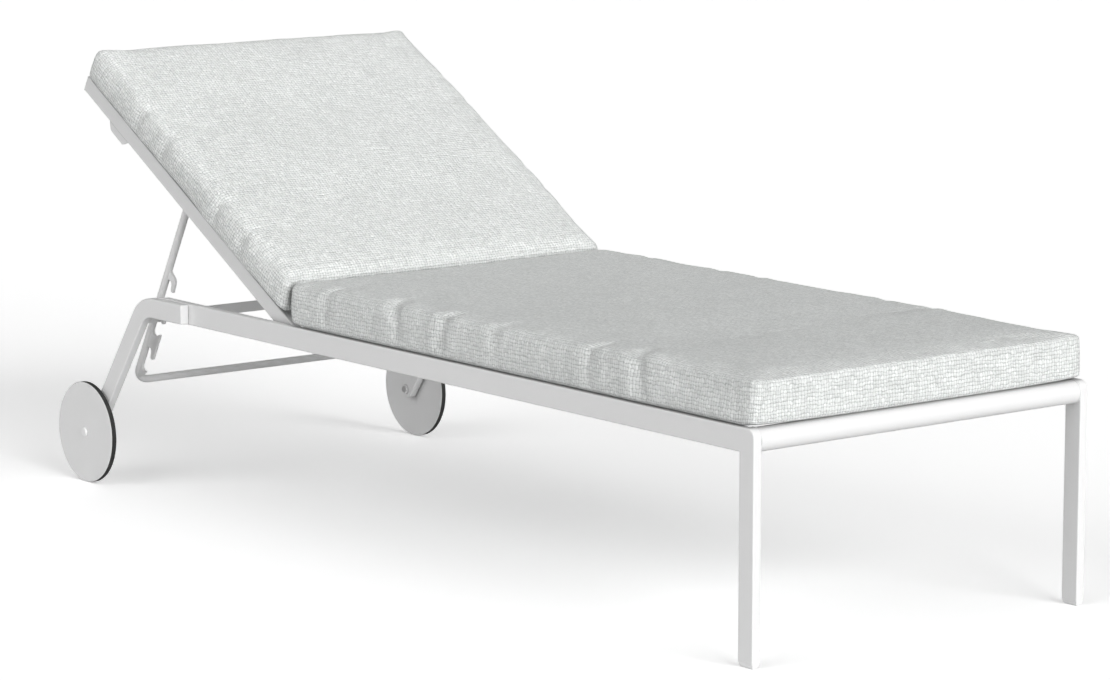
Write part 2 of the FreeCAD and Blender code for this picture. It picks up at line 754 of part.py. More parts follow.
def bail_tube():
    """U-shaped round tube: two arms, two corner bends and a bottom bar."""
    y = BAIL_ARM_Y
    radius = BAIL_CORNER_RADIUS
    low = -BAIL_LENGTH
    top = -BAIL_EYE_RADIUS
    dip = radius * (1 - math.cos(math.pi / 4))
    points = [
        Vector(0, y, top),
        Vector(0, y, low + radius),
        Vector(0, y - dip, low + dip),
        Vector(0, y - radius, low),
        Vector(0, radius - y, low),
        Vector(0, dip - y, low + dip),
        Vector(0, -y, low + radius),
        Vector(0, -y, top),
    ]
    path = Part.Wire(
        [
            Part.LineSegment(points[0], points[1]).toShape(),
            Part.Arc(points[1], points[2], points[3]).toShape(),
            Part.LineSegment(points[3], points[4]).toShape(),
            Part.Arc(points[4], points[5], points[6]).toShape(),
            Part.LineSegment(points[6], points[7]).toShape(),
        ]
    )
    tubes = []
    for size in (BAIL_TUBE_RADIUS, BAIL_TUBE_RADIUS - TUBE_WALL):
        ring_wire = Part.Wire(Part.makeCircle(size, points[0], Z_AXIS))
        tubes.append(path.makePipeShell([ring_wire], True, False))
    return tubes[0].cut(tubes[1])


def bail_eye():
    """Short cross tube at the top of an arm, which turns on the pivot bolt."""
    y0 = BAIL_ARM_Y - BAIL_TUBE_RADIUS
    y1 = BAIL_ARM_Y + BAIL_TUBE_RADIUS
    return ring(BAIL_EYE_RADIUS, BOLT_RADIUS + RUNNING_PLAY, 0, y0, y1, 0)


def bail_bolt():
    """Bolt on the inside of a backrest rail that carries one arm of the bail."""
    head_y = BAIL_ARM_Y - BAIL_TUBE_RADIUS - 0.5
    return bolt(-BAIL_PIVOT_ALONG, 0, head_y, BACK_RAIL_INNER_Y + BOLT_GRIP)


def bail_washer():
    """Washer between an arm of the bail and its backrest rail."""
    y0 = BAIL_ARM_Y + BAIL_TUBE_RADIUS + 2 * BOLT_PLAY
    bore = BOLT_RADIUS + BOLT_PLAY
    return ring(BAIL_WASHER_RADIUS, bore, -BAIL_PIVOT_ALONG, y0, BACK_RAIL_INNER_Y, 0)


def hook_corners():
    """Outline of a hook plate, as (forward, height, corner radius) points."""
    root = BAIL_TUBE_RADIUS - 2
    reach = HOOK_REACH
    inner = reach - HOOK_FINGER_WIDTH
    corners = [(root, -HOOK_PLATE_TOP, 0), (reach - 3, -HOOK_PLATE_TOP - 7, 12)]
    for i in range(len(HOOK_NOTCHES)):
        notch = HOOK_NOTCHES[i]
        tip = notch + HOOK_FINGER_DROP
        cusp = tip + HOOK_MOUTH
        corners += [
            (reach, -tip + 1.5, 3.5),
            (inner, -tip, 3.5),
            (inner - 4.5, -notch, 6),
            (HOOK_STRIP, -notch, 5),
            (HOOK_STRIP, -cusp - 10, 9),
            (HOOK_STRIP + 12, -cusp - 14, 9),
            (reach - 1.0, -cusp, 1),
        ]
    corners += [(root + 4, -HOOK_PLATE_END, 2), (root, -HOOK_PLATE_END, 0)]
    return corners


def hook_plate():
    """Plate welded along the front of a bail arm, with three downward hooks."""
    half = HOOK_PLATE_THICKNESS / 2
    plate = slab(outline(hook_corners()), BAIL_ARM_Y - half, BAIL_ARM_Y + half)
    arm = Part.makeCylinder(BAIL_TUBE_RADIUS, BAIL_LENGTH, Vector(0, BAIL_ARM_Y, -BAIL_LENGTH), Z_AXIS)
    return plate.cut(arm).cut(bail_tube())


# ---------------------------------------------------------------- cushions

def cushion(x0, x1, z0, z1, edge):
    """Plain rounded block as wide as the frame."""
    block = box(x0, x1, -HALF_WIDTH, HALF_WIDTH, z0, z1)
    return block.makeFillet(edge, block.Edges)


def seat_cushion():
    """Seat cushion, from the foot end to the foot of the backrest."""
    x0 = from_foot(SEAT_CUSHION_LENGTH)
    z0 = RAIL_TOP + CUSHION_CLEARANCE
    return cushion(x0, FOOT_X, z0, z0 + SEAT_CUSHION_THICKNESS, SEAT_CUSHION_EDGE)


def back_cushion():
    """Back cushion on the backrest, high enough to pass over the rails when flat."""
    z0 = RAIL_HEIGHT / 2 + CUSHION_CLEARANCE
    z1 = z0 + BACK_CUSHION_THICKNESS
    return cushion(-BACK_CUSHION_END, -BACK_CUSHION_START, z0, z1, BACK_CUSHION_EDGE)


# ---------------------------------------------------------------- assembly

add_both("side_rail", side_rail())
add_both("rail_end_cap", rail_end_cap())
add_both("front_leg", front_leg())
add_both("foot_glide", foot_glide())
add("front_crossbar", front_crossbar())
add_both("rear_leg", rear_leg())
add_both("rear_leg_cap", rear_leg_cap())
add_pair("rear_leg_bolts", rear_leg_bolts())
add("ratchet_bar", ratchet_bar())
for index in range(SEAT_SLATS):
    add("seat_slat_%d" % (index + 1), seat_slat(index))
add("seat_crossbar", seat_crossbar())
add_pair("hinge_bolts", hinge_bolt())
add_pair("hinge_washers", hinge_washer())
add("seat_cushion", seat_cushion())

add_pair("axle_bolts", axle_bolt())
add_pair("axle_nuts", axle_nut())
add_both("hub_cap", hub_cap())
add_both("wheel_disc", wheel_disc())
add_both("wheel_bush", wheel_bush())
add_both("tyre", tyre())

add_both("backrest_rail", to_backrest(backrest_rail()))
add_both("backrest_cap", to_backrest(backrest_cap()))
add_pair("hinge_bushes", to_backrest(hinge_bush()))
add("backrest_lower_bar", to_backrest(backrest_crossbar(BACK_LOWER_BAR)))
add("backrest_upper_bar", to_backrest(backrest_crossbar(BACK_UPPER_BAR)))
for index in range(BACK_SLATS):
    add("back_slat_%d" % (index + 1), to_backrest(back_slat(index)))
add_both("handle_bracket", to_backrest(handle_bracket()))
add("lift_handle", to_backrest(lift_handle()))
add_pair("bail_bolts", to_backrest(bail_bolt()))
add_pair("bail_washers", to_backrest(bail_washer()))
add("back_cushion", to_backrest(back_cushion()))

add("bail_tube", to_bail(bail_tube()))
add_pair("bail_eyes", to_bail(bail_eye()))
add_both("hook_plate", to_bail(hook_plate()))

os.makedirs("parts", exist_ok=True)
for name, shape in nodes.items():
    shape.exportStep(os.path.join("parts", name + ".step"))

whole = Part.makeCompound(list(nodes.values())).optimalBoundingBox(False, False)
print("nodes", len(nodes))
print("X", round(whole.XMin, 2), round(whole.XMax, 2))
print("Y", round(whole.YMin, 2), round(whole.YMax, 2))
print("Z", round(whole.ZMin, 2), round(whole.ZMax, 2))
for name, shape in nodes.items():
    if not shape.isValid():
        print("not valid:", name)
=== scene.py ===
import json
import math

import bpy
import numpy as np
from mathutils import Matrix, Vector, noise


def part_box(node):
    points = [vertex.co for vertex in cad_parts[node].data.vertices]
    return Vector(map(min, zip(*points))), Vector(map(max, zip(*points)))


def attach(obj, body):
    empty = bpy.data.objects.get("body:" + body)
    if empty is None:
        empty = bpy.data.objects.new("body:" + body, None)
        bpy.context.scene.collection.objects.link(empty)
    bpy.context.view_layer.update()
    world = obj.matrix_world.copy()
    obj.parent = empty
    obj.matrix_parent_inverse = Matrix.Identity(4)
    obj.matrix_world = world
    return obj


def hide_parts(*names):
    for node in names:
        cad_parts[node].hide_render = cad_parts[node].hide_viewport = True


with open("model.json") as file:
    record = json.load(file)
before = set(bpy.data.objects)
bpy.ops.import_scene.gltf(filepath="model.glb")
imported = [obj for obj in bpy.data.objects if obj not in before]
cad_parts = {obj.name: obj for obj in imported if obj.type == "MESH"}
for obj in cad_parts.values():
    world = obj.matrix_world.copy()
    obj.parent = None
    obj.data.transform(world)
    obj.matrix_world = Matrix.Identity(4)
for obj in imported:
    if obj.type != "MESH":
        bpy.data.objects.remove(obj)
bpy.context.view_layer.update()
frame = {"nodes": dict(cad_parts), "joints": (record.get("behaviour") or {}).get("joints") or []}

# ---------------------------------------------------------------- sizes, in metres

MM = 0.001
joints = {joint["name"]: joint for joint in frame["joints"]}
HINGE = Vector(joints["backrest_recline"]["pos_m"])
BACK_ANGLE = math.radians(-joints["backrest_recline"]["range_deg"][0])
AXLE = Vector(joints["wheel_left_spin"]["pos_m"])

# Corners of the seat's solid, and of the back's before it is leaned back about the hinge.
SEAT_LOW, SEAT_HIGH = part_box("seat_cushion")
HALF_WIDTH = SEAT_HIGH.y
BACK_LOW = Vector((-0.758, -HALF_WIDTH, 0.0193))
BACK_HIGH = Vector((-0.040, HALF_WIDTH, 0.0903))

# A cushion starts a little smaller than its solid, because it swells.
SIDE_ROOM = 2.0 * MM
TOP_ROOM = 3.0 * MM
PANEL_STEP = 10.5 * MM
PANEL_ROWS = 7
SEAT_EDGES = (9.0 * MM, 9.0 * MM)
BACK_EDGES = (12.0 * MM, 16.0 * MM)
SEAT_CORNER = 18.0 * MM
BACK_CORNER = 16.5 * MM
SEAT_UNDERCUT = 2.0 * MM
BACK_UNDERCUT = 11.0 * MM

SEAT_YARNS = (5.6 * MM, 6.3 * MM)
BACK_YARNS = (5.6 * MM, 5.9 * MM)
# The seat's weave is a darker copy of the back's: painted light, one fabric toned for how the lamps fall on
# each cushion.
SEAT_LIGHT = (0.925, 0.94, 0.93, 1.0)
SEAT_DARK = (0.47, 0.49, 0.48, 1.0)
BACK_LIGHT = (0.965, 0.98, 0.97, 1.0)
BACK_DARK = (0.49, 0.51, 0.50, 1.0)
STITCH_PITCH = 5.0 * MM
STITCH_FROM_SEAM = 6.0 * MM
SEAT_RELIEF = 1.8 * MM
BACK_RELIEF = 2.0 * MM
# Strength and reach of the shade painted into narrow gaps, darkest on the back cushion.
SEAT_GAP_SHADE = 0.35
BACK_GAP_SHADE = 0.85
SECOND_YARN = 0.965
FABRIC_GAP = 16.0 * MM
COATING_GAP = 22.0 * MM


# ---------------------------------------------------------------- material helpers

def new_material(name):
    """A material with its Principled shader, ready for more nodes."""
    mat = bpy.data.materials.new(name)
    mat.use_nodes = True
    return mat, mat.node_tree, mat.node_tree.nodes["Principled BSDF"]


def plug(tree, socket, value):
    """Set a socket to a number or colour, or link it to another node's output."""
    if isinstance(value, bpy.types.NodeSocket):
        tree.links.new(value, socket)
    else:
        socket.default_value = value


def calc(tree, operation, a, b=None, c=None):
    """One Math node."""
    node = tree.nodes.new("ShaderNodeMath")
    node.operation = operation
    for socket, value in zip(node.inputs, (a, b, c)):
        if value is not None:
            plug(tree, socket, value)
    return node.outputs[0]


def scaled(tree, vector, scale):
    """A vector multiplied by another, part by part."""
    node = tree.nodes.new("ShaderNodeVectorMath")
    node.operation = "MULTIPLY"
    plug(tree, node.inputs[0], vector)
    plug(tree, node.inputs[1], scale)
    return node.outputs[0]


def place(tree):
    """The point being shaded, in the object's own frame."""
    return tree.nodes.new("ShaderNodeTexCoord").outputs["Object"]


def grain(tree, vector, scale, detail=2.0, rough=0.5):
    """Noise from 0 to 1."""
    node = tree.nodes.new("ShaderNodeTexNoise")
    plug(tree, node.inputs["Vector"], vector)
    node.inputs["Scale"].default_value = scale
    node.inputs["Detail"].default_value = detail
    node.inputs["Roughness"].default_value = rough
    return node.outputs["Fac"]


def span(tree, value, low, high, to_low, to_high):
    """Value mapped from one range to another, and held inside it."""
    node = tree.nodes.new("ShaderNodeMapRange")
    plug(tree, node.inputs["Value"], value)
    node.inputs["From Min"].default_value = low
    node.inputs["From Max"].default_value = high
    node.inputs["To Min"].default_value = to_low
    node.inputs["To Max"].default_value = to_high
    return node.outputs["Result"]


def blend_colour(tree, share, first, second):
    """Colour between first, at 0, and second, at 1."""
    node = tree.nodes.new("ShaderNodeMix")
    node.data_type = "RGBA"
    plug(tree, node.inputs["Factor"], share)
    plug(tree, node.inputs["A"], first)
    plug(tree, node.inputs["B"], second)
    return node.outputs["Result"]


def bump(tree, shader, height, distance, strength=1.0):
    """Roughen a shader's surface by a height from 0 to 1, times a distance."""
    node = tree.nodes.new("ShaderNodeBump")
    node.inputs["Strength"].default_value = strength
    node.inputs["Distance"].default_value = distance
    plug(tree, node.inputs["Height"], height)
    tree.links.new(node.outputs["Normal"], shader.inputs["Normal"])


def edge_mask(tree, radius):
    """1 along sharp edges, 0 on open faces."""
    bevel = tree.nodes.new("ShaderNodeBevel")
    bevel.samples = 4
    bevel.inputs["Radius"].default_value = radius
    normal = tree.nodes.new("ShaderNodeNewGeometry").outputs["Normal"]
    dot = tree.nodes.new("ShaderNodeVectorMath")
    dot.operation = "DOT_PRODUCT"
    tree.links.new(bevel.outputs["Normal"], dot.inputs[0])
    tree.links.new(normal, dot.inputs[1])
    return span(tree, dot.outputs["Value"], 0.98, 0.80, 0.0, 1.0)


def painted_gap_shade(tree, reach):
    """Painted shade: 1 deep in narrow gaps, where shade falls, and 0 in the open."""
    node = tree.nodes.new("ShaderNodeAmbientOcclusion")
    node.samples = 8
    node.inputs["Distance"].default_value = reach
    return span(tree, node.outputs["AO"], 0.30, 0.85, 1.0, 0.0)


def grey(level, warm=0.0):
    """An opaque grey, slightly warm or cold."""
    return (level * (1 + warm), level, level * (1 - warm), 1.0)


# ---------------------------------------------------------------- hard materials

def coated(name, level, roughness, peel):
    """White powder coat: orange peel, faint tone changes, slight wear on its edges, painted shade in its
    gaps.
    """
    mat, tree, shader = new_material(name)
    point = place(tree)
    cloud = grain(tree, point, 6.0, 3.0)
    speck = grain(tree, point, 2600.0, 1.0)
    worn = calc(tree, "MULTIPLY", edge_mask(tree, 1.2 * MM), grain(tree, point, 140.0, 3.0))
    tone = blend_colour(tree, cloud, grey(level * 0.975), grey(level))
    tone = blend_colour(tree, span(tree, speck, 0.30, 0.44, 0.22, 0.0), tone, grey(level * 0.72))
    tone = blend_colour(tree, span(tree, worn, 0.45, 0.9, 0.0, 0.30), tone, grey(level * 0.62, 0.02))
    # Painted shade: the coat darkens in narrow gaps, where shade falls.
    dust_and_gap_shade = calc(tree, "MULTIPLY", painted_gap_shade(tree, COATING_GAP), 0.48)
    tone = blend_colour(tree, dust_and_gap_shade, tone, grey(level * 0.22))
    plug(tree, shader.inputs["Base Color"], tone)
    plug(tree, shader.inputs["Roughness"], span(tree, cloud, 0.2, 0.8, roughness - 0.05, roughness + 0.05))
    bump(tree, shader, grain(tree, point, 750.0, 2.0), peel)
    return mat


def plastic(name, level, roughness, warm=0.0):
    """Moulded plastic with a fine eroded grain."""
    mat, tree, shader = new_material(name)
    point = place(tree)
    cloud = grain(tree, point, 25.0, 3.0)
    scuff = calc(tree, "MULTIPLY", edge_mask(tree, 0.8 * MM), grain(tree, point, 220.0, 2.0))
    tone = blend_colour(tree, cloud, grey(level * 0.96, warm), grey(level, warm))
    tone = blend_colour(tree, span(tree, scuff, 0.4, 0.9, 0.0, 0.35), tone, grey(level * 0.7, warm))
    plug(tree, shader.inputs["Base Color"], tone)
    plug(tree, shader.inputs["Roughness"], span(tree, cloud, 0.2, 0.8, roughness - 0.06, roughness + 0.06))
    bump(tree, shader, grain(tree, point, 1500.0, 2.0), 0.05 * MM)
    return mat


def from_axle(tree, point):
    """Distance from the wheels' axis."""
    parts = tree.nodes.new("ShaderNodeSeparateXYZ")
    plug(tree, parts.inputs[0], point)
    x = calc(tree, "SUBTRACT", parts.outputs["X"], AXLE.x)
    z = calc(tree, "SUBTRACT", parts.outputs["Z"], AXLE.z)
    square = calc(tree, "MULTIPLY_ADD", x, x, calc(tree, "MULTIPLY", z, z))
    return calc(tree, "SQRT", square)


def turned_plastic(name, level):
    """Wheel plastic, turned on a lathe, with scuffs near its rim."""
    mat, tree, shader = new_material(name)
    point = place(tree)
    radius = from_axle(tree, point)
    ridges = calc(tree, "SINE", calc(tree, "MULTIPLY", radius, 2 * math.pi / (1.1 * MM)))
    cloud = grain(tree, point, 18.0, 4.0)
    scuff = calc(tree, "MULTIPLY", span(tree, radius, 0.070, 0.090, 0.0, 1.0), grain(tree, point, 90.0, 4.0))
    tone = blend_colour(tree, cloud, grey(level * 0.96), grey(level))
    tone = blend_colour(tree, span(tree, scuff, 0.45, 0.8, 0.0, 0.35), tone, grey(level * 0.7, 0.01))
    plug(tree, shader.inputs["Base Color"], tone)
    plug(tree, shader.inputs["Roughness"], span(tree, cloud, 0.2, 0.8, 0.42, 0.56))
    height = calc(tree, "MULTIPLY_ADD", ridges, 0.35, grain(tree, point, 1200.0, 2.0))
    bump(tree, shader, height, 0.05 * MM)
    return mat


def rubber(name):
    """Black tyre rubber, dusty and finely ribbed round the wheel."""
    mat, tree, shader = new_material(name)
    point = place(tree)
    dust_and_gap_shade = grain(tree, point, 60.0, 4.0)
    tone = blend_colour(tree, span(tree, dust_and_gap_shade, 0.45, 0.75, 0.0, 1.0), grey(0.018), grey(0.05, 0.04))
    plug(tree, shader.inputs["Base Color"], tone)
    plug(tree, shader.inputs["Roughness"], span(tree, dust_and_gap_shade, 0.3, 0.7, 0.55, 0.8))
    ribs = calc(tree, "SINE", calc(tree, "MULTIPLY", separate(tree, point, "Y"), 2 * math.pi / (1.2 * MM)))
    bump(tree, shader, calc(tree, "MULTIPLY_ADD", ribs, 0.4, grain(tree, point, 900.0, 3.0)), 0.15 * MM)
    return mat


def separate(tree, vector, axis):
    """One part of a vector."""
    node = tree.nodes.new("ShaderNodeSeparateXYZ")
    plug(tree, node.inputs[0], vector)
    return node.outputs[axis]


def steel(name):
    """Stainless steel, brushed along Y."""
    mat, tree, shader = new_material(name)
    point = place(tree)
    brushed = grain(tree, scaled(tree, point, (1.0, 0.04, 1.0)), 2200.0, 2.0)
    stain = grain(tree, point, 90.0, 3.0)
    plug(tree, shader.inputs["Base Color"], blend_colour(tree, stain, grey(0.50, 0.01), grey(0.66)))
    shader.inputs["Metallic"].default_value = 1.0
    plug(tree, shader.inputs["Roughness"], span(tree, brushed, 0.2, 0.8, 0.24, 0.42))
    bump(tree, shader, brushed, 0.03 * MM)
    return mat


# ---------------------------------------------------------------- fabric

def cell_chance(tree, u, v):
    """A number from 0 to 1, different on every crossing of the yarns."""
    at = tree.nodes.new("ShaderNodeCombineXYZ")
    plug(tree, at.inputs[0], u)
    plug(tree, at.inputs[1], v)
    node = tree.nodes.new("ShaderNodeTexWhiteNoise")
    tree.links.new(at.outputs[0], node.inputs["Vector"])
    return node.outputs["Value"]


def yarn_height(tree, u, v):
    """Plain weave of thick soft yarns, from 0 between yarns to 1 on their tops."""
    cell_u = calc(tree, "FLOOR", u)
    cell_v = calc(tree, "FLOOR", v)
    across_u = calc(tree, "ABSOLUTE", calc(tree, "SINE", calc(tree, "MULTIPLY", u, math.pi)))
    across_v = calc(tree, "ABSOLUTE", calc(tree, "SINE", calc(tree, "MULTIPLY", v, math.pi)))
    parity = calc(tree, "MODULO", calc(tree, "ADD", cell_u, calc(tree, "ADD", cell_v, 4000.0)), 2.0)
    parity = calc(tree, "ABSOLUTE", parity)
    height = calc(tree, "POWER", calc(tree, "MULTIPLY", across_u, across_v), 0.38)
    return height, parity, cell_chance(tree, cell_u, cell_v)


def wandering(tree, cloth, shift):
    """How far the yarns stray from straight lines, in yarns: long waves and short kinks."""
    moved = tree.nodes.new("ShaderNodeVectorMath")
    moved.operation = "ADD"
    plug(tree, moved.inputs[0], cloth)
    moved.inputs[1].default_value = shift
    waves = calc(tree, "SUBTRACT", grain(tree, moved.outputs[0], 30.0, 1.0), 0.5)
    kinks = calc(tree, "SUBTRACT", grain(tree, moved.outputs[0], 120.0, 1.0), 0.5)
    return calc(tree, "ADD", calc(tree, "MULTIPLY", waves, 0.9), calc(tree, "MULTIPLY", kinks, 1.0))


def slubs(tree, cloth):
    """Long thick places in the yarns, along both directions."""
    along_u = grain(tree, scaled(tree, cloth, (22.0, 150.0, 1.0)), 1.0, 2.0)
    along_v = grain(tree, scaled(tree, cloth, (150.0, 22.0, 1.0)), 1.0, 2.0)
    return calc(tree, "MULTIPLY", along_u, along_v)


def stitching(tree):
    """Thread and its gutter beside the seams, each from 0 to 1."""
    seam = tree.nodes.new("ShaderNodeAttribute")
    seam.attribute_name = "seam"
    along = separate(tree, seam.outputs["Vector"], "X")
    away = separate(tree, seam.outputs["Vector"], "Y")
    beside = calc(tree, "ABSOLUTE", calc(tree, "SUBTRACT", away, STITCH_FROM_SEAM))
    dash = calc(tree, "FRACT", calc(tree, "DIVIDE", along, STITCH_PITCH))
    in_dash = calc(tree, "LESS_THAN", calc(tree, "ABSOLUTE", calc(tree, "SUBTRACT", dash, 0.5)), 0.34)
    thread = calc(tree, "MULTIPLY", span(tree, beside, 0.4 * MM, 0.9 * MM, 1.0, 0.0), in_dash)
    return thread, span(tree, beside, 0.8 * MM, 2.6 * MM, 1.0, 0.0)


def fabric(name, light, dark, pitch, relief_depth, gap_shade):
    """Chunky outdoor weave in two off-white tones, with stitching beside the seams."""
    mat, tree, shader = new_material(name)
    attribute = tree.nodes.new("ShaderNodeAttribute")
    attribute.attribute_name = "cloth"
    cloth = attribute.outputs["Vector"]
    stray_u = wandering(tree, cloth, (0.0, 0.0, 3.0))
    stray_v = wandering(tree, cloth, (7.0, 0.0, 9.0))
    u = calc(tree, "MULTIPLY_ADD", separate(tree, cloth, "X"), 1 / pitch[0], stray_u)
    v = calc(tree, "MULTIPLY_ADD", separate(tree, cloth, "Y"), 1 / pitch[1], stray_v)
    height, parity, chance = yarn_height(tree, u, v)
    fibres = grain(tree, cloth, 2400.0, 2.0)
    thick = grain(tree, cloth, 160.0, 2.0)
    soft = grain(tree, cloth, 9.0, 3.0)
    slub = slubs(tree, cloth)
    thread, gutter = stitching(tree)

    # Yarns of two tones, each a little different, over painted shade in the gaps between them.
    second = tuple(SECOND_YARN * c for c in light[:3]) + (1.0,)
    yarn = blend_colour(tree, parity, light, second)
    yarn = blend_colour(tree, calc(tree, "MULTIPLY", chance, 0.30), yarn, dark)
    yarn = blend_colour(tree, span(tree, thick, 0.35, 0.7, 0.0, 0.18), yarn, dark)
    tone = blend_colour(tree, span(tree, height, 0.20, 0.62, 0.0, 1.0), dark, yarn)
    # Slubs, soft clouds of wear, the stitching, and painted shade in narrow gaps.
    tone = blend_colour(tree, span(tree, slub, 0.16, 0.34, 0.16, 0.0), tone, dark)
    tone = blend_colour(tree, span(tree, soft, 0.3, 0.7, 0.0, 0.10), tone, dark)
    # Painted shade in the gutter beside the seams.
    tone = blend_colour(tree, calc(tree, "MULTIPLY", gutter, 0.08), tone, dark)
    tone = blend_colour(tree, calc(tree, "MULTIPLY", thread, 0.35), tone, light)
    # Painted shade: the weave darkens in narrow gaps, where shade falls.
    dust_and_gap_shade = calc(tree, "MULTIPLY", painted_gap_shade(tree, FABRIC_GAP), gap_shade)
    tone = blend_colour(tree, dust_and_gap_shade, tone, grey(0.10))
    plug(tree, shader.inputs["Base Color"], tone)
    plug(tree, shader.inputs["Roughness"], span(tree, fibres, 0.2, 0.8, 0.78, 0.95))
    shader.inputs["Sheen Weight"].default_value = 0.12
    shader.inputs["Sheen Roughness"].default_value = 0.5
    shader.inputs["Specular IOR Level"].default_value = 0.25

    relief = calc(tree, "MULTIPLY", height, span(tree, chance, 0.0, 1.0, 0.70, 1.30))
    relief = calc(tree, "MULTIPLY_ADD", fibres, 0.12, relief)
    relief = calc(tree, "MULTIPLY_ADD", slub, 3.2, relief)
    relief = calc(tree, "SUBTRACT", relief, calc(tree, "MULTIPLY", gutter, 0.22))
    relief = calc(tree, "ADD", relief, calc(tree, "MULTIPLY", thread, 0.45))
    bump(tree, shader, relief, relief_depth, 0.85)
    return mat


materials = {
    "frame_coating": coated("powder_coat_white", 0.79, 0.42, 0.09 * MM),
    "white_plastic": plastic("cap_plastic_white", 0.86, 0.38),
    "wheel_plastic": turned_plastic("wheel_plastic_white", 0.80),
    "bush_plastic": plastic("bush_plastic_grey", 0.35, 0.45, 0.02),
    "tyre_rubber": rubber("tyre_rubber_black"),
    "fastener_steel": steel("fastener_steel_brushed"),
    "seat_fabric": fabric(
        "seat_weave_off_white", SEAT_LIGHT, SEAT_DARK, SEAT_YARNS, SEAT_RELIEF, SEAT_GAP_SHADE
    ),
    "back_fabric": fabric(
        "back_weave_off_white", BACK_LIGHT, BACK_DARK, BACK_YARNS, BACK_RELIEF, BACK_GAP_SHADE
    ),
}

for node in frame["nodes"].values():
    for material_slot in node.material_slots:
        material_slot.material = materials[material_slot.material.name.split(".")[0]]


# ---------------------------------------------------------------- cushion meshes

def grid_lines(low, high, low_edge, high_edge, step):
    """Places of grid lines between two ends, closer together at both ends."""
    near = [0.0, 0.3, 0.65, 1.0, 1.5]
    start = [low + low_edge * share for share in near]
    end = [high - high_edge * share for share in reversed(near)]
    count = max(1, round((end[0] - start[-1]) / step))
    middle = [start[-1] + (end[0] - start[-1]) * i / count for i in range(1, count)]
    return start + middle + end


def box_grid(xs, ys, zs):
    """Points and quads of a box's skin, and each quad's panel: top, bottom or a side."""
    index = {}
    points = []

    def at(i, j, k):
        if (i, j, k) not in index:
            index[(i, j, k)] = len(points)
            points.append((xs[i], ys[j], zs[k]))
        return index[(i, j, k)]

    quads = []
    panels = []

    def add(corners, panel):
        quads.append([at(*corner) for corner in corners])
        panels.append(panel)

    last_x, last_y, last_z = len(xs) - 1, len(ys) - 1, len(zs) - 1
    for i in range(last_x):
        for j in range(last_y):
            add([(i, j, last_z), (i + 1, j, last_z), (i + 1, j + 1, last_z), (i, j + 1, last_z)], "top")
            add([(i, j, 0), (i, j + 1, 0), (i + 1, j + 1, 0), (i + 1, j, 0)], "bottom")
    for k in range(last_z):
        for i in range(last_x):
            add([(i, 0, k), (i + 1, 0, k), (i + 1, 0, k + 1), (i, 0, k + 1)], "right")
            add([(i, last_y, k), (i, last_y, k + 1), (i + 1, last_y, k + 1), (i + 1, last_y, k)], "left")
        for j in range(last_y):
            add([(last_x, j, k), (last_x, j + 1, k), (last_x, j + 1, k + 1), (last_x, j, k + 1)], "front")
            add([(0, j, k), (0, j, k + 1), (0, j + 1, k + 1), (0, j + 1, k)], "rear")
    return np.array(points), quads, panels


def rounded(points, low, high, edges, corner):
    """The skin with its upright corners and its edges rounded."""
    centre = (low + high) / 2
    half = (high - low) / 2
    p = points - centre
    sign = np.sign(p)
    q = np.abs(p)

    # Upright corners: the corner's square becomes a quarter disc.
    inner = half[:2] - corner
    d = np.maximum(q[:, :2] - inner, 0.0) / corner
    both = (d > 0).all(axis=1)
    dx = np.where(both, d[:, 0] * np.sqrt(1 - d[:, 1] ** 2 / 2), d[:, 0])
    dy = np.where(both, d[:, 1] * np.sqrt(1 - d[:, 0] ** 2 / 2), d[:, 1])
    q[:, 0] = np.where(d[:, 0] > 0, inner[0] + dx * corner, q[:, 0])
    q[:, 1] = np.where(d[:, 1] > 0, inner[1] + dy * corner, q[:, 1])

    # Edges: pull the skin onto an arc, of one radius at the bottom and another at the top.
    edge = np.where(p[:, 2] > 0, edges[1], edges[0])
    c = q[:, :2] - inner
    beyond = np.maximum(c, 0.0)
    reach = np.hypot(beyond[:, 0], beyond[:, 1])
    inside = np.minimum(np.maximum(c[:, 0], c[:, 1]), 0.0)
    outwards = beyond / np.maximum(reach, 1e-9)[:, None]
    e = np.maximum(reach + inside - corner + edge, 0.0)
    h = np.maximum(q[:, 2] - (half[2] - edge), 0.0)
    length = np.hypot(e, h)
    pull = np.where(length > 0, edge / np.maximum(length, 1e-9), 1.0)
    on_edge = (e > 0) & (h > 0)
    q[:, :2] += outwards * np.where(on_edge, e * (pull - 1), 0.0)[:, None]
    q[:, 2] += np.where(on_edge, h * (pull - 1), 0.0)
    return q * sign + centre


def cloth_places(points, quads, panels, low, high):
    """For each corner of each quad, its place on the flat cloth and beside the nearest seam."""
    length = high[0] - low[0]
    width = high[1] - low[1]
    cloth = []
    seam = []
    for quad, panel in zip(quads, panels):
        middle = points[quad].mean(axis=0)
        to_ends = min(middle[0] - low[0], high[0] - middle[0])
        to_sides = min(middle[1] - low[1], high[1] - middle[1])
        for x, y, z in points[quad]:
            if panel in ("top", "bottom"):
                cloth.append((x, y, 0.0))
                if to_ends < to_sides:
                    seam.append((y, min(x - low[0], high[0] - x), 0.0))
                else:
                    seam.append((x, min(y - low[1], high[1] - y), 0.0))
                continue
            u = {
                "left": x,
                "front": high[0] + high[1] - y,
                "right": high[0] + width + high[0] - x,
                "rear": high[0] + width + length + y - low[1],
            }[panel]
            cloth.append((u, z, 1.0))
            seam.append((u, min(z - low[2], high[2] - z), 0.0))
    return np.array(cloth), np.array(seam)


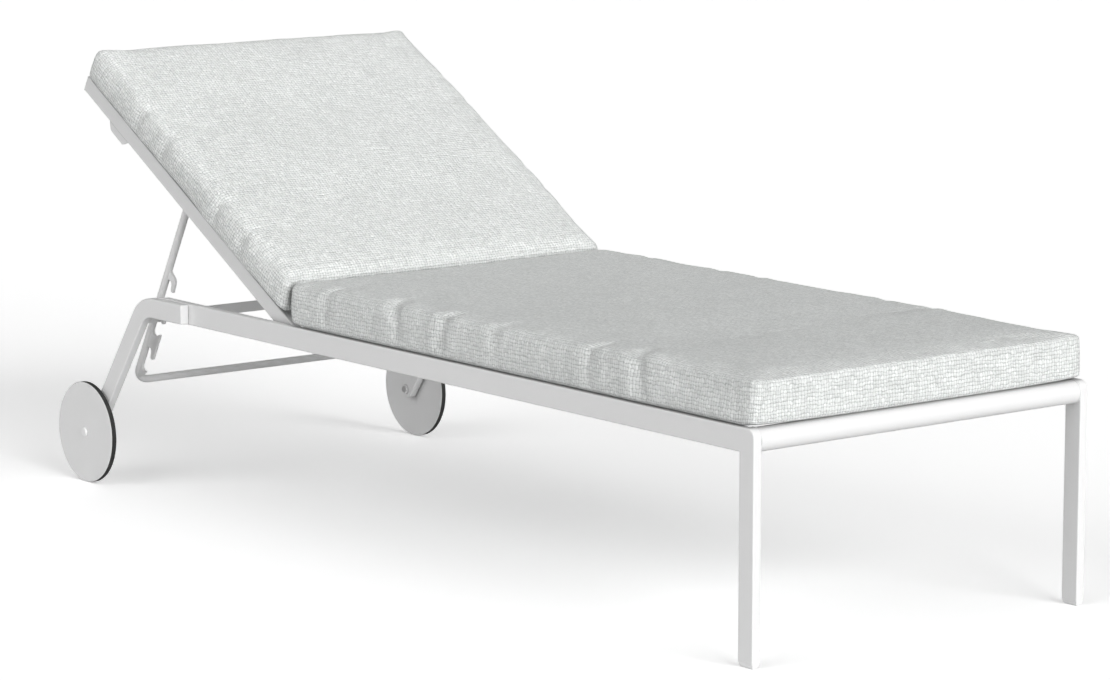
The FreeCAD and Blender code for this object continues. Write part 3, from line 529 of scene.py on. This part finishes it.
def cushion_mesh(name, low, high, edges, corner):
    """A plain rounded cushion skin with its cloth and seam places."""
    step_z = (high[2] - low[2]) / PANEL_ROWS
    widest = max(edges)
    xs = grid_lines(low[0], high[0], widest, widest, PANEL_STEP)
    ys = grid_lines(low[1], high[1], widest, widest, PANEL_STEP)
    zs = grid_lines(low[2], high[2], edges[0], edges[1], step_z)
    points, quads, panels = box_grid(xs, ys, zs)
    cloth, seam = cloth_places(points, quads, panels, low, high)
    mesh = bpy.data.meshes.new(name)
    mesh.from_pydata([tuple(p) for p in rounded(points, low, high, edges, corner)], [], quads)
    for key, values in (("cloth", cloth), ("seam", seam)):
        layer = mesh.attributes.new(key, "FLOAT_VECTOR", "CORNER")
        layer.data.foreach_set("vector", values.astype(np.float32).ravel())
    mesh.update()
    return mesh


def positions(mesh):
    """A mesh's points as rows of x, y and z."""
    flat = np.zeros(len(mesh.vertices) * 3)
    mesh.vertices.foreach_get("co", flat)
    return flat.reshape(-1, 3)


def normals(mesh):
    """A mesh's point normals."""
    flat = np.zeros(len(mesh.vertices) * 3)
    mesh.vertices.foreach_get("normal", flat)
    return flat.reshape(-1, 3)


def set_positions(mesh, points):
    """Move a mesh's points."""
    mesh.vertices.foreach_set("co", points.astype(np.float32).ravel())
    mesh.update()


def inflate(piece, held, cap):
    """Swell a closed skin with cloth simulation, no point further than a soft cap."""
    rest = positions(piece.data)
    group = piece.vertex_groups.new(name="held")
    group.add([int(i) for i in held], 1.0, "REPLACE")
    cloth = piece.modifiers.new("inflate", "CLOTH")
    settings = cloth.settings
    settings.quality = 5
    settings.mass = 0.3
    settings.tension_stiffness = 15
    settings.compression_stiffness = 15
    settings.shear_stiffness = 5
    settings.bending_stiffness = 0.6
    settings.vertex_group_mass = "held"
    settings.use_pressure = True
    settings.uniform_pressure_force = 4.0
    settings.effector_weights.gravity = 0.0
    scene = bpy.context.scene
    for number in range(1, 21):
        scene.frame_set(number)
    evaluated = piece.evaluated_get(bpy.context.evaluated_depsgraph_get())
    moved = positions(evaluated.to_mesh()) - rest
    evaluated.to_mesh_clear()
    piece.modifiers.remove(cloth)
    piece.vertex_groups.remove(group)
    scene.frame_set(1)
    far = np.linalg.norm(moved, axis=1)
    set_positions(piece.data, rest + moved * (cap / (cap + far))[:, None])


def subdivided(piece):
    """The piece's mesh with one smooth subdivision."""
    modifier = piece.modifiers.new("smooth", "SUBSURF")
    modifier.levels = 1
    modifier.render_levels = 1
    bpy.context.view_layer.update()
    graph = bpy.context.evaluated_depsgraph_get()
    mesh = bpy.data.meshes.new_from_object(
        piece.evaluated_get(graph), preserve_all_data_layers=True, depsgraph=graph
    )
    piece.modifiers.remove(modifier)
    mesh.name = piece.data.name
    piece.data = mesh
    return mesh


# ---------------------------------------------------------------- cushion shaping

# A cushion swells by at most this much, and stays put at its foot and round its pinches.
SWELL_CAP = 7.0 * MM
PINNED_FOOT = 4.0 * MM
PINNED_PINCH = 9.0 * MM

# A crease fades at its two ends, over these shares of its length. Beside it the cloth stands proud,
# at a distance and over a width in crease widths, by a share of its depth.
CREASE_FADE = (0.12, 0.55)
PROUD_AT = 2.6
PROUD_WIDTH = 1.5
PROUD_SHARE = 0.28
SEAT_RUN_IN = 70.0 * MM
BACK_RUN_IN = 45.0 * MM

# A seam lies at this share of its edge's radius.
SEAM_PLACE = 0.3
SEAM_DEPTH = 1.1 * MM
SEAM_WIDTH = 1.6 * MM
SEAM_REACH = 6.0 * MM

# Long waves and short ripples, as fineness and height. They ease off towards the foot.
WAVES = (7.0, 1.3 * MM)
RIPPLES = (22.0, 0.5 * MM)
STILL_FOOT = 10.0 * MM
UNDERCUT_REACH = 30.0 * MM


def crease_depth(points, path, depth, width):
    """How far each point sinks into a crease along a path, standing proud on both sides of it."""
    sunk = np.zeros(len(points))
    proud = np.zeros(len(points))
    lengths = [0.0]
    for a, b in zip(path, path[1:]):
        lengths.append(lengths[-1] + float(np.linalg.norm(np.array(b) - np.array(a))))
    total = lengths[-1]
    for number, (a, b) in enumerate(zip(path, path[1:])):
        a = np.array(a)
        b = np.array(b)
        run = b - a
        share = np.clip(((points - a) @ run) / (run @ run), 0.0, 1.0)
        away = np.linalg.norm(points - (a + share[:, None] * run), axis=1)
        at = (lengths[number] + share * np.linalg.norm(run)) / total
        strength = np.clip(at / CREASE_FADE[0], 0, 1) * np.clip((1 - at) / CREASE_FADE[1], 0, 1)
        strength = strength * strength * (3 - 2 * strength)
        sunk = np.maximum(sunk, strength * np.exp(-((away / width) ** 2)))
        off = (away - PROUD_AT * width) / (PROUD_WIDTH * width)
        proud = np.maximum(proud, strength * np.exp(-(off ** 2)))
    return depth * (sunk - PROUD_SHARE * proud)


def pinch_path(along, side, low, high, lean, run_in):
    """Line of a crease: up a cushion's long side, over its edge and then inwards over its top."""
    edge = (high[1] - low[1]) / 2 * side
    top = high[2] - 1 * MM
    foot = low[2] + 8 * MM
    middle = (low[2] + high[2]) / 2
    shoulder = top - 7 * MM
    return [
        (along - lean * 0.15, edge, foot),
        (along, edge, middle),
        (along + lean * 0.1, edge - side * 1 * MM, shoulder),
        (along + lean * 0.35, edge - side * 12 * MM, top),
        (along + lean, edge - side * run_in, top),
    ]


def dip_depth(points, centre, radius, depth):
    """How far each point sinks into a shallow round dip, or rises where its depth is negative."""
    away = np.linalg.norm((points - np.array(centre)) / np.array(radius), axis=1)
    return depth * np.exp(-(away ** 2))


def seam_depth(points, low, high, edges):
    """How far each point sinks into the fine grooves of the two seams."""
    rim = near_border(points, low, high)
    sunk = np.zeros(len(points))
    for z in (low[2] + edges[0] * SEAM_PLACE, high[2] - edges[1] * SEAM_PLACE):
        sunk += SEAM_DEPTH * np.exp(-(((points[:, 2] - z) / SEAM_WIDTH) ** 2)) * rim
    return sunk


def soft_noise(points, scale, seed):
    """Smooth noise from about -1 to 1 at each point."""
    shift = Vector((seed, seed * 1.7, seed * 0.3))
    return np.array([noise.noise(Vector(p) * scale + shift) for p in points])


def near_end(p, end, reach):
    """1 at an end of a cushion, easing to 0 this far inside it."""
    share = np.clip(1 - np.abs(p[:, 0] - end) / reach, 0.0, 1.0)
    return share * share * (3 - 2 * share)


def tucked(t, reach):
    """1 at a cushion's bottom, easing to 0 at this share of its height."""
    return np.clip(1 - t / reach, 0.0, 1.0) ** 2


def undercut(p, low, high, depth, reach):
    """Draw a cushion's foot in all round, so that a narrow gap stays above what it lies on."""
    t = np.clip((p[:, 2] - low[2]) / (high[2] - low[2]), 0.0, 1.0)
    foot = np.clip(1 - t / reach, 0.0, 1.0)
    for axis in (0, 1):
        for end, outward in ((low[axis], -1), (high[axis], 1)):
            share = np.clip(1 - np.abs(p[:, axis] - end) / UNDERCUT_REACH, 0.0, 1.0)
            p[:, axis] -= outward * depth * foot * share


def seat_ends(p, low, high):
    """The rear end bulges and tucks under; the front end's foot curls in, and up at its corners."""
    t = np.clip((p[:, 2] - low[2]) / (high[2] - low[2]), 0.0, 1.0)
    rear = near_end(p, low[0], 45 * MM)
    front = near_end(p, high[0], 40 * MM)
    p[:, 0] -= rear * 5 * MM * np.sin(math.pi * np.clip(t, 0.0, 0.92)) ** 0.8
    p[:, 0] += rear * 9 * MM * tucked(t, 0.30)
    p[:, 2] += rear * 5 * MM * tucked(t, 0.15)
    p[:, 2] -= rear * 2.5 * MM * np.clip(t - 0.5, 0.0, 0.5)
    p[:, 0] -= front * 3.5 * MM * tucked(t, 0.40)
    p[:, 2] += front * 5 * MM * tucked(t, 0.50) * np.clip(np.abs(p[:, 1]) / high[1], 0.0, 1.0) ** 5
    undercut(p, low, high, SEAT_UNDERCUT, 0.13)


def back_ends(p, low, high):
    """The lower end's foot reaches down towards the hinge; the upper end is rounder."""
    t = np.clip((p[:, 2] - low[2]) / (high[2] - low[2]), 0.0, 1.0)
    lower = near_end(p, high[0], 70 * MM)
    upper = near_end(p, low[0], 50 * MM)
    p[:, 0] += lower * 13 * MM * (1 - t)
    p[:, 0] += upper * 7 * MM * tucked(t, 0.50)
    undercut(p, low, high, BACK_UNDERCUT, 0.20)


def make_cushion(name, low, high, edges, corner, creases, dips, shape_ends, matrix, seed):
    """One cushion: sewn skin, swelled, then creased and softly uneven."""
    low = np.array(low)
    high = np.array(high)
    piece = bpy.data.objects.new(name, cushion_mesh(name, low, high, edges, corner))
    bpy.context.scene.collection.objects.link(piece)
    p = positions(piece.data)
    pinned = list(np.nonzero(p[:, 2] < low[2] + PINNED_FOOT)[0])
    for path, depth, width in creases:
        near = np.linalg.norm(p - np.array(path[3]), axis=1)
        pinned += list(np.nonzero(near < PINNED_PINCH)[0])
    inflate(piece, sorted(set(pinned)), SWELL_CAP)
    mesh = subdivided(piece)
    p = positions(mesh)
    n = normals(mesh)
    sink = seam_depth(p, low, high, edges)
    for crease in creases:
        sink += crease_depth(p, *crease)
    for dip in dips:
        sink += dip_depth(p, *dip)
    ripple = soft_noise(p * np.array([1.0, 1.0, 1.4]), WAVES[0], seed) * WAVES[1]
    ripple += soft_noise(p, RIPPLES[0], seed + 5) * RIPPLES[1]
    above_foot = np.clip((p[:, 2] - low[2]) / STILL_FOOT, 0.0, 1.0)
    p += n * ((ripple - sink) * above_foot)[:, None]
    shape_ends(p, low, high)
    set_positions(mesh, p)
    mesh.transform(matrix)
    for polygon in mesh.polygons:
        polygon.use_smooth = True
    mesh.update()
    return piece


def near_border(p, low, high):
    """1 on a cushion's border, 0 well inside its top."""
    to_x = np.minimum(p[:, 0] - low[0], high[0] - p[:, 0])
    to_y = np.minimum(p[:, 1] - low[1], high[1] - p[:, 1])
    return np.clip(1 - np.minimum(to_x, to_y) / SEAM_REACH, 0.0, 1.0)


def both_sides(places, low, high, run_in):
    """Creases at these places along both long sides."""
    creases = []
    for along, side, lean, depth, width in places:
        path = pinch_path(along, side, low, high, lean, run_in)
        creases.append((path, depth, width))
    return creases


def cushion_corners(low, high):
    """The corners of a cushion before it swells, from those of its solid."""
    room = Vector((SIDE_ROOM, SIDE_ROOM, 0.0))
    return tuple(low + room), tuple(high - room - Vector((0.0, 0.0, TOP_ROOM)))


seat_low, seat_high = cushion_corners(SEAT_LOW, SEAT_HIGH)
seat_places = [
    # place along X, side, lean, depth, width
    (-0.142, -1, 0.010, 4.0 * MM, 10 * MM),
    (0.062, -1, -0.050, 7.5 * MM, 13 * MM),
    (0.188, -1, 0.020, 6.5 * MM, 12 * MM),
    (0.330, -1, 0.015, 3.0 * MM, 14 * MM),
    (0.571, -1, 0.018, 5.0 * MM, 12 * MM),
    (0.699, -1, -0.055, 7.5 * MM, 13 * MM),
    (-0.120, 1, 0.020, 1.5 * MM, 10 * MM),
    (0.075, 1, 0.020, 2.0 * MM, 10 * MM),
    (0.190, 1, -0.020, 2.0 * MM, 10 * MM),
    (0.500, 1, 0.020, 2.0 * MM, 10 * MM),
    (0.634, 1, -0.020, 2.0 * MM, 10 * MM),
]
seat_dips = [
    # centre, radius along each axis, depth
    ((0.12, -0.10, 0.44), (0.10, 0.20, 0.1), 1.6 * MM),
    ((0.62, -0.12, 0.44), (0.10, 0.18, 0.1), 1.8 * MM),
    ((-0.05, 0.05, 0.44), (0.14, 0.16, 0.1), 1.2 * MM),
    ((0.40, 0.12, 0.44), (0.18, 0.14, 0.1), -1.2 * MM),
]
seat = make_cushion(
    "seat_cushion_soft",
    seat_low,
    seat_high,
    SEAT_EDGES,
    SEAT_CORNER,
    both_sides(seat_places, seat_low, seat_high, SEAT_RUN_IN),
    seat_dips,
    seat_ends,
    matrix=Matrix.Identity(4),
    seed=3.0,
)
seat.data.materials.append(materials["seat_fabric"])
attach(seat, "frame")
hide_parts("seat_cushion")

back_low, back_high = cushion_corners(BACK_LOW, BACK_HIGH)
back_places = [
    # place along X, side, lean, depth, width
    (-0.564, -1, 0.025, 4.8 * MM, 12 * MM),
    (-0.469, -1, -0.020, 4.0 * MM, 11 * MM),
    (-0.280, -1, 0.025, 4.8 * MM, 12 * MM),
    (-0.184, -1, -0.020, 4.0 * MM, 11 * MM),
    (-0.591, 1, 0.020, 2.5 * MM, 11 * MM),
    (-0.502, 1, -0.020, 2.5 * MM, 11 * MM),
    (-0.301, 1, 0.020, 2.5 * MM, 11 * MM),
    (-0.223, 1, -0.020, 2.5 * MM, 11 * MM),
]
back_dips = [
    # centre, radius along each axis, depth
    ((-0.52, -0.10, 0.09), (0.05, 0.22, 0.1), 1.8 * MM),
    ((-0.24, -0.08, 0.09), (0.05, 0.22, 0.1), 1.8 * MM),
    ((-0.52, 0.16, 0.09), (0.05, 0.16, 0.1), 1.4 * MM),
]
to_back = Matrix.Translation(HINGE) @ Matrix.Rotation(BACK_ANGLE, 4, "Y")
back = make_cushion(
    "back_cushion_soft",
    back_low,
    back_high,
    BACK_EDGES,
    BACK_CORNER,
    both_sides(back_places, back_low, back_high, BACK_RUN_IN),
    back_dips,
    back_ends,
    matrix=to_back,
    seed=11.0,
)
back.data.materials.append(materials["back_fabric"])
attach(back, "backrest")
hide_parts("back_cushion")


# ---------------------------------------------------------------- weld beads

BEAD_RADIUS = 1.5 * MM
BEAD_RIPPLE = 2.2 * MM
BEAD_SIDES = 8
BEAD_STEP = 0.7 * MM
# A bead's middle lies this far under its tube's skin, and this far off the face that the tube meets.
BEAD_BITE = 0.2 * MM
BEAD_INSET = 0.3 * MM
# The backrest's crossbars, by distance from the hinge.
BACK_BARS = (0.062, 0.732)
BACK_BAR_RADIUS = 9.0 * MM


def bead(name, path, matrix, body):
    """A rippled weld bead along a closed path that lies in a plane."""
    path = [Vector(point) for point in path]
    centre = sum(path, Vector()) / len(path)
    count = len(path)
    normal = (path[0] - centre).cross(path[count // 4] - centre).normalized()
    points = []
    length = 0.0
    for i in range(count):
        length += (path[i] - path[i - 1]).length
        tangent = (path[(i + 1) % count] - path[i - 1]).normalized()
        out = tangent.cross(normal)
        radius = BEAD_RADIUS * (0.80 + 0.20 * abs(math.sin(math.pi * length / BEAD_RIPPLE)))
        radius *= 1 + 0.10 * noise.noise(path[i] * 160.0)
        for j in range(BEAD_SIDES):
            angle = 2 * math.pi * j / BEAD_SIDES
            points.append(path[i] + (out * math.cos(angle) + normal * math.sin(angle)) * radius)
    quads = []
    for i in range(count):
        for j in range(BEAD_SIDES):
            k = (j + 1) % BEAD_SIDES
            a, b = i * BEAD_SIDES, (i + 1) % count * BEAD_SIDES
            quads.append((a + j, b + j, b + k, a + k))
    mesh = bpy.data.meshes.new(name)
    mesh.from_pydata([tuple(matrix @ point) for point in points], [], quads)
    for polygon in mesh.polygons:
        polygon.use_smooth = True
    mesh.materials.append(materials["frame_coating"])
    mesh.update()
    piece = bpy.data.objects.new(name, mesh)
    bpy.context.scene.collection.objects.link(piece)
    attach(piece, body)


def round_path(centre, radius):
    """Circle round a tube that lies along Y."""
    count = round(2 * math.pi * radius / BEAD_STEP)
    turns = [2 * math.pi * i / count for i in range(count)]
    return [(centre[0] + radius * math.cos(a), centre[1], centre[2] + radius * math.sin(a)) for a in turns]


def square_path(low, high, flat_axis):
    """Rectangle between two corners, in the plane across one axis."""
    first, second = [axis for axis in range(3) if axis != flat_axis]
    corners = [
        (low[first], low[second]),
        (high[first], low[second]),
        (high[first], high[second]),
        (low[first], high[second]),
    ]
    path = []
    for (a, b), (c, d) in zip(corners, corners[1:] + corners[:1]):
        steps = max(1, round(math.hypot(c - a, d - b) / BEAD_STEP))
        for i in range(steps):
            point = [0.0, 0.0, 0.0]
            point[flat_axis] = low[flat_axis]
            point[first] = a + (c - a) * i / steps
            point[second] = b + (d - b) * i / steps
            path.append(tuple(point))
    return path


def weld_front_bar(side, sign):
    """Bead round the front crossbar where it meets a front leg."""
    low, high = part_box("front_crossbar")
    middle = ((low.x + high.x) / 2, sign * (high.y - BEAD_INSET), (low.z + high.z) / 2)
    path = round_path(middle, (high.z - low.z) / 2 - BEAD_BITE)
    bead("weld_front_bar_" + side, path, Matrix.Identity(4), "frame")


def weld_ratchet(side, sign):
    """Bead round the ratchet bar where it meets a rear leg."""
    low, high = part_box("ratchet_bar")
    y = sign * (high.y - BEAD_INSET)
    path = square_path((low.x, y, low.z), (high.x, y, high.z), 1)
    bead("weld_ratchet_" + side, path, Matrix.Identity(4), "frame")


def weld_back_bar(side, sign, along):
    """Bead round a crossbar of the backrest where it meets a rail, this far from the hinge."""
    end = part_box("backrest_lower_bar")[1].y
    path = round_path((-along, sign * (end - BEAD_INSET), 0.0), BACK_BAR_RADIUS - BEAD_BITE)
    bead("weld_back_bar_%d_%s" % (round(along / MM), side), path, to_back, "backrest")


for side, sign in (("left", 1), ("right", -1)):
    weld_front_bar(side, sign)
    weld_ratchet(side, sign)
    for along in BACK_BARS:
        weld_back_bar(side, sign, along)


# ---------------------------------------------------------------- studio

# Sizes in metres, brightness in linear shares of white, and the lens in millimetres.
FLOOR_REACH = 300.0
FLOOR_LEVEL = 0.97
FLOOR_GLOW = 0.315
BOUNCE_LEVEL = 0.72
BACKDROP_RADIUS = 290.0
BACKDROP_HEIGHTS = (-5.0, 200.0)
BACKDROP_SIDES = 48
SKY_STRENGTH = 0.25
LAMP_AWAY = 10.0
LOOK_AT = Vector((0.0425, 0.0, 0.346))
EYE = Vector((5.5190, -4.2815, 1.4997))
LENS = 133.4


def stage_piece(name, mesh, level, glow):
    """A plain pale surface of the studio, with a little light of its own."""
    piece = bpy.data.objects.new(name, mesh)
    bpy.context.scene.collection.objects.link(piece)
    mat, tree, shader = new_material(name)
    shader.inputs["Base Color"].default_value = grey(level)
    shader.inputs["Roughness"].default_value = 1.0
    shader.inputs["Specular IOR Level"].default_value = 0.0
    shader.inputs["Emission Color"].default_value = grey(1.0)
    shader.inputs["Emission Strength"].default_value = glow
    mesh.materials.append(mat)
    piece.visible_shadow = False
    return piece


def flat_square(name, z):
    """A large level square."""
    mesh = bpy.data.meshes.new(name)
    r = FLOOR_REACH
    corners = [(-r, -r, z), (r, -r, z), (r, r, z), (-r, r, z)]
    mesh.from_pydata(corners, [], [(0, 1, 2, 3)])
    return mesh


def backdrop_mesh():
    """A wide round wall about the floor."""
    mesh = bpy.data.meshes.new("studio_backdrop")
    turns = [2 * math.pi * i / BACKDROP_SIDES for i in range(BACKDROP_SIDES)]
    ring = [
        (BACKDROP_RADIUS * math.cos(a), BACKDROP_RADIUS * math.sin(a), z)
        for z in BACKDROP_HEIGHTS
        for a in turns
    ]
    quads = []
    for i in range(BACKDROP_SIDES):
        j = (i + 1) % BACKDROP_SIDES
        quads.append((i, j, j + BACKDROP_SIDES, i + BACKDROP_SIDES))
    mesh.from_pydata(ring, [], quads)
    return mesh


def make_floor():
    """Pale floor that the camera sees, a dimmer one that lights the lounger, and a backdrop."""
    seen = stage_piece("studio_floor", flat_square("studio_floor", 0.0), FLOOR_LEVEL, FLOOR_GLOW)
    bounce = stage_piece("studio_bounce", flat_square("studio_bounce", -1 * MM), BOUNCE_LEVEL, 0.0)
    backdrop = stage_piece("studio_backdrop", backdrop_mesh(), 0.0, 1.0)
    bounce.visible_camera = False
    for piece in (seen, backdrop):
        piece.visible_diffuse = False
        piece.visible_glossy = False


def make_lamp(name, azimuth, elevation, strength, spread):
    """Distant soft lamp."""
    lamp = bpy.data.lights.new(name, "SUN")
    lamp.energy = strength
    lamp.angle = math.radians(spread)
    holder = bpy.data.objects.new(name, lamp)
    bpy.context.scene.collection.objects.link(holder)
    a, e = math.radians(azimuth), math.radians(elevation)
    towards = Vector((math.sin(a) * math.cos(e), -math.cos(a) * math.cos(e), math.sin(e)))
    holder.location = towards * LAMP_AWAY
    holder.rotation_mode = "QUATERNION"
    holder.rotation_quaternion = (-towards).to_track_quat("-Z", "Y")


def make_sky():
    """Plain even sky."""
    world = bpy.data.worlds.new("studio_sky")
    world.use_nodes = True
    shader = world.node_tree.nodes["Background"]
    shader.inputs["Strength"].default_value = SKY_STRENGTH
    shader.inputs["Color"].default_value = grey(1.0)
    bpy.context.scene.world = world


def make_camera():
    """Camera at the photograph's viewing angle."""
    lens = bpy.data.cameras.new("camera")
    lens.lens = LENS
    lens.sensor_width = 36.0
    lens.clip_end = 1000.0
    camera = bpy.data.objects.new("camera", lens)
    bpy.context.scene.collection.objects.link(camera)
    camera.location = EYE
    camera.rotation_mode = "QUATERNION"
    camera.rotation_quaternion = (LOOK_AT - EYE).to_track_quat("-Z", "Y")
    bpy.context.scene.camera = camera


make_floor()
make_sky()
make_lamp("key", 88.0, 20.0, 2.88, 42.0)
make_lamp("fill", 5.0, 28.0, 1.16, 54.0)
make_camera()
bpy.context.scene.view_settings.view_transform = "Standard"
